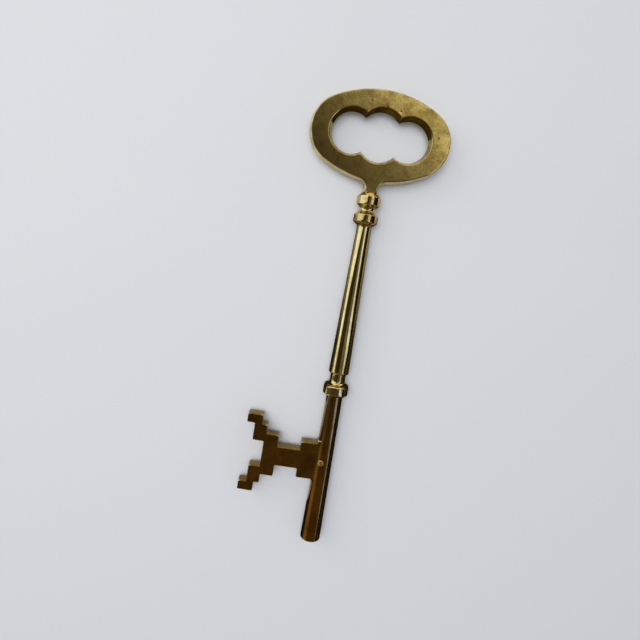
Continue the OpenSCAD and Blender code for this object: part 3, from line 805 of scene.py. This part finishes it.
# Stud bores from both ends, each starting a little outside its face
bores = []
for end_name, end, way in (("Foot Bore", given["Foot"], 1), ("Head Bore", head.outputs[0], -1)):
    depth = add(tree, "ShaderNodeMath", {0: given[end_name], 1: drill_outside}, operation="ADD")
    drill = add(tree, "GeometryNodeMeshCylinder", {"Vertices": bore_segments, "Radius": given["Bore Radius"],
                                                   "Depth": depth.outputs[0]})
    centre = add(tree, "ShaderNodeMath", {0: given[end_name], 1: drill_outside}, operation="SUBTRACT")
    centre = add(tree, "ShaderNodeMath", {0: centre.outputs[0], 1: way * 0.5, 2: end},
                 operation="MULTIPLY_ADD")
    centre = add(tree, "ShaderNodeCombineXYZ", {1: centre.outputs[0]})
    drill = add(tree, "GeometryNodeTransform", {"Geometry": drill.outputs[0],
                                                "Translation": centre.outputs[0],
                                                "Rotation": (pi / 2, 0.0, 0.0)})
    bores.append(drill)
bored = add(tree, "GeometryNodeMeshBoolean", {"Mesh 1": bar.outputs[0]},
            operation="DIFFERENCE", solver="EXACT")
for drill in bores:
    tree.links.new(drill.outputs[0], bored.inputs["Mesh 2"])
real = add(tree, "GeometryNodeRealizeInstances", {0: bored.outputs[0]})
real = add(tree, "GeometryNodeSetMaterial", {0: real.outputs[0], "Material": given["Brass"]})
add(tree, "NodeGroupOutput", {"Shank": real.outputs[0]})


def applied(piece):
    """Puts the result of a piece's modifiers in its mesh."""
    shapes = bpy.context.evaluated_depsgraph_get()
    mesh = bpy.data.meshes.new_from_object(piece.evaluated_get(shapes))
    piece.modifiers.clear()
    piece.data = mesh
    return piece


def grown(name, tree, material, **inputs):
    """Runs a node tree with its inputs set, and keeps the result as a plain mesh."""
    piece = new_piece(name, bpy.data.meshes.new(name), material)
    step = piece.modifiers.new("grow", "NODES")
    step.node_group = tree
    named = {item.name: item.identifier for item in tree.interface.items_tree
             if item.in_out == "INPUT"}
    for key, value in inputs.items():
        step[named[key.replace("_", " ")]] = value
    applied(piece)
    return piece


# Turned and polished brass, which keeps most of its shine. The lathe's rings are finer on the real one, and
# are drawn 0.7 mm apart here so that they show in its reflections
upper_brass = aged_brass("polished_shank_brass", "d8c68c", "b49e62", "34260f", "f0e4ae",
                         cloud=9.0, mottle=0.9, gloss=(0.05, 0.10), ring=0.7, grain=0.004)
upper_shank_y, upper_shank_l = 99.6, 84.0
upper_foot_r, upper_head_r = 5.65, 4.0
upper_bevel, upper_sweep = 0.9, 1.4
shank_rings, shank_segments = 260, 96
stud_bore_l = 12.8
upper_shank = grown("upper_shank_turned", shank_tree, upper_brass, Foot=upper_shank_y * mm,
                    Length=upper_shank_l * mm, Foot_Radius=upper_foot_r * mm, Head_Radius=upper_head_r * mm,
                    Foot_Bevel=upper_bevel * mm, Head_Sweep=upper_sweep * mm, Bore_Radius=stud_r * mm,
                    Foot_Bore=stud_bore_l * mm, Head_Bore=stud_bore_l * mm, Rings=shank_rings,
                    Around=shank_segments, Brass=upper_brass)
finished(upper_shank, "upper_shank")

# The same bar, its colour painted darker and browner as a painted reflection of brown surroundings: duller,
# with the same rings
lower_brass = aged_brass("shank_brass_painted_darker", "94784a", "745c32", "281a0a", "ccb276",
                         cloud=9.0, mottle=0.9, gloss=(0.12, 0.2), ring=0.7, grain=0.005)
lower_shank_l = 86.7
lower_foot_r, lower_head_r = 5.8, 4.5
lower_bevel = 0.7
no_bore = -2.0
bit_y = 47.7
tongue_t, tongue_h, tongue_past, tongue_root = 4.0, 16.0, 1.8, -12
slot_gap = 0.05
pin_r, pin_x = 1.5, -1.6
outside = 9


def shank_r(y):
    """The lower shank's radius at a height above the tip."""
    return lower_foot_r + (lower_head_r - lower_foot_r) * y / lower_shank_l


def carve(piece, ends, operation="DIFFERENCE"):
    """Cuts a piece with the straight bar between two outlines, or joins the bar to it."""
    skin = Skin()
    rows = [skin.row(end) for end in ends]
    skin.join(rows[0], rows[1], closed=True)
    skin.faces += [tuple(rows[0]), tuple(rows[1])]
    bar = new_piece("bar", skin.mesh("bar"), piece.data.materials[0])
    step = piece.modifiers.new("carve", "BOOLEAN")
    step.operation, step.solver, step.object = operation, "EXACT", bar
    applied(piece)
    bpy.data.objects.remove(bar)


def tongue_ends(root_x, gap):
    """The two faces of the bit's tongue, or of its slot, which is larger by a gap."""
    half_h, half_t = tongue_h / 2 + gap, tongue_t / 2 + gap
    return [[(x, y, z) for x, y in oblong(root_x, bit_y - half_h, tongue_past + gap, bit_y + half_h)]
            for z in (-half_t, half_t)]


pin_hole_ends = [[(pin_x + pin_r * cos(a), bit_y + pin_r * sin(a), z) for a in full_turn(48)]
                 for z in (-outside, outside)]
lower_shank = grown("lower_shank_turned", shank_tree, lower_brass, Foot=0.0, Length=lower_shank_l * mm,
                    Foot_Radius=lower_foot_r * mm, Head_Radius=lower_head_r * mm,
                    Foot_Bevel=lower_bevel * mm, Head_Sweep=0.0, Bore_Radius=stud_r * mm,
                    Foot_Bore=no_bore * mm, Head_Bore=stud_bore_l * mm, Rings=shank_rings,
                    Around=shank_segments, Brass=lower_brass)
carve(lower_shank, tongue_ends(-outside, slot_gap))
carve(lower_shank, pin_hole_ends)
finished(lower_shank, "lower_shank")

# Bit
# The stepped plate that stands for a lock's wards, sawn from 8 mm brass and filed, then let into the shank by
# a tongue, pinned and brazed. It is the darkest piece, with bright lines along its arrises that are partly
# worn metal and partly painted highlight.
bit_t = 8.0
bit_ease, bit_draft = 0.5, 0.06
bit_outer_r, bit_inner_r = 0.6, 0.5
bit_spacing, bit_grid, bit_margin = 0.8, 1.1, 0.45
bit_low, bit_high = (-50, 20), (1, 75)
hollow_foot, hollow_head = 20, 76
block_reach, block_h = 14.4, 21.4
waist_l, waist_h = 12.9, 11.2
step_1_l, step_1_h = 7.3, 24.4
step_2_l, step_2_h = 3.1, 34.6
toe_l, toe_h = 8.8, 45.4
toe_gap_h, toe_gap_l = 34.6, 4.5
notch_h, notch_l = 14.8, 6.4
waist_end = block_reach + waist_l
step_1_end = waist_end + step_1_l
step_2_end = step_1_end + step_2_l
bit_reach = step_2_end + toe_l
arm_end = bit_reach - toe_gap_l
notch_end = arm_end - notch_l
block_sweep_r = 1.2
sweep_top = block_h / 2 + block_sweep_r + bit_outer_r + 0.1
upper_half = [(0, sweep_top), (shank_r(bit_y), sweep_top), (shank_r(bit_y), block_h / 2),
              (block_reach, block_h / 2), (block_reach, waist_h / 2), (waist_end, waist_h / 2),
              (waist_end, step_1_h / 2), (step_1_end, step_1_h / 2), (step_1_end, step_2_h / 2),
              (step_2_end, step_2_h / 2), (step_2_end, toe_h / 2), (bit_reach, toe_h / 2),
              (bit_reach, toe_gap_h / 2), (arm_end, toe_gap_h / 2), (arm_end, notch_h / 2),
              (notch_end, notch_h / 2)]
corners = np.array([(-x, y) for x, y in upper_half] + [(-x, -y) for x, y in upper_half[::-1]])


def soft_outline(corners, outer_r, inner_r, spacing, special):
    """A closed outline with its corners rounded: points, each with the direction into the metal.

    Corners named by number in special have a radius of their own.
    """
    places, ways = [], []
    count = len(corners)
    area = sum(corners[i][0] * corners[(i + 1) % count][1] - corners[(i + 1) % count][0] * corners[i][1]
               for i in range(count))
    side = 1 if area > 0 else -1
    for i in range(count):
        before, corner, after = corners[i - 1], corners[i], corners[(i + 1) % count]
        coming = (corner - before) / np.linalg.norm(corner - before)
        going = (after - corner) / np.linalg.norm(after - corner)
        in_coming, in_going = (side * np.array([-d[1], d[0]]) for d in (coming, going))
        convex = side * (coming[0] * going[1] - coming[1] * going[0]) > 0
        r = special.get(i, outer_r if convex else inner_r)
        centre = corner + (in_coming + in_going) * (r if convex else -r)
        for t in np.linspace(0, pi / 2, 6):
            way = in_coming * cos(t) + in_going * sin(t)
            places.append(centre + way * (-r if convex else r))
            ways.append(way)
        start, stop = places[-1], after - going * r
        length = np.linalg.norm(stop - start)
        parts = max(2, math.ceil(length / spacing))
        for k in range(1, parts):
            places.append(start + (stop - start) * k / parts)
            ways.append(in_going)
    return np.array(places), np.array(ways)


bit_edge = cast_edge(bit_t / 2, bit_draft, bit_ease)[:-1]
sweep_corners = (2, len(corners) - 3)
places, ways = soft_outline(corners, bit_outer_r, bit_inner_r, bit_spacing,
                            dict.fromkeys(sweep_corners, block_sweep_r))
bit_skin = Skin()
for side_up in (1, -1):
    lines = []
    for depth, height in bit_edge:
        spots = places + ways * depth
        lines.append(bit_skin.row([(x, y + bit_y, side_up * height) for x, y in spots]))
    for line, following in zip(lines, lines[1:]):
        bit_skin.join(line, following, closed=True)
    loop = np.array([bit_skin.points[k][:2] for k in lines[-1]])
    free = grid_inside(bit_low, bit_high, bit_grid, [loop], bit_margin)
    face_between(bit_skin, [lines[-1]], free, side_up * bit_t / 2)

# Sawn and filed brass plate, browned: satin, darkest in its corners, and bright on its arrises, where wear
# and a painted highlight brighten it
bit_brass = aged_brass("browned_plate_brass", "94793f", "6e5426", "281a0a", "f0e6b8",
                       cloud=7.0, mottle=1.0, gloss=(0.20, 0.30), edge_tint="f2ecde", grain=0.012)
bit_mesh = bit_skin.mesh("bit_sawn")
uneven(bit_mesh, size=8.0, depth=0.06, seed=3.0)
bit_sawn = new_piece("bit_sawn", bit_mesh, bit_brass)
# The plate's inner end is hollowed to the shank, and the tongue stands out of it
carve(bit_sawn, [[(shank_r(y) * cos(a), y, shank_r(y) * sin(a)) for a in full_turn(shank_segments)]
                 for y in (hollow_foot, hollow_head)])
carve(bit_sawn, tongue_ends(tongue_root, 0), "UNION")
carve(bit_sawn, pin_hole_ends)
finished(bit_sawn, "bit")

# Bit pin
# A short brass pin driven through shank and tongue. Its two ends stand a hair proud, filed round with the
# shank, and show as bright ovals; their light colour is partly a painted highlight.
pin_proud = 0.15
pin_skin = Skin()
# Rings over an end, from its side to its middle: radius and how far below the filed surface
pin_rings = [(pin_r, 3.0), (pin_r, 0.12), (pin_r - 0.05, 0.04), (pin_r - 0.14, 0.0), (0.9, 0.0), (0.4, 0.0),
             (0.0005, 0.0)]
pin_rows = []
for side_up in (1, -1):
    for r, below in pin_rings[::-side_up]:
        ring = []
        for t in full_turn(48):
            x, y = pin_x + r * cos(t), bit_y + r * sin(t)
            ring.append((x, y, side_up * (sqrt((shank_r(y) + pin_proud) ** 2 - x ** 2) - below)))
        pin_rows.append(pin_skin.row(ring))
for row, following in zip(pin_rows, pin_rows[1:]):
    pin_skin.join(row, following, closed=True)

# Drawn brass rod, filed at its ends: painted brighter than the darker pieces round it, as a painted highlight
pin_brass = aged_brass("pin_brass_painted_bright", "f0e4b0", "d2be80", "3a2c16", "f0e6b8",
                       cloud=3.0, mottle=0.6, gloss=(0.12, 0.2))
bit_pin = new_piece("bit_pin_filed", pin_skin.mesh("bit_pin_filed"), pin_brass)
finished(bit_pin, "bit_pin")

# Studs
# Two brass studs inside the key that hold the turned pieces in line. They are the CAD's own solids, in the
# clean metal of parts that no air has reached.
stud_brass = aged_brass("drawn_stud_brass", "d2bf84", "b8a368", "5a4726", "e8dca8",
                        cloud=5.0, mottle=0.8, gloss=(0.18, 0.28))
for node in ("bow_stud", "shank_stud"):
    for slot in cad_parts[node].material_slots:
        slot.material = stud_brass
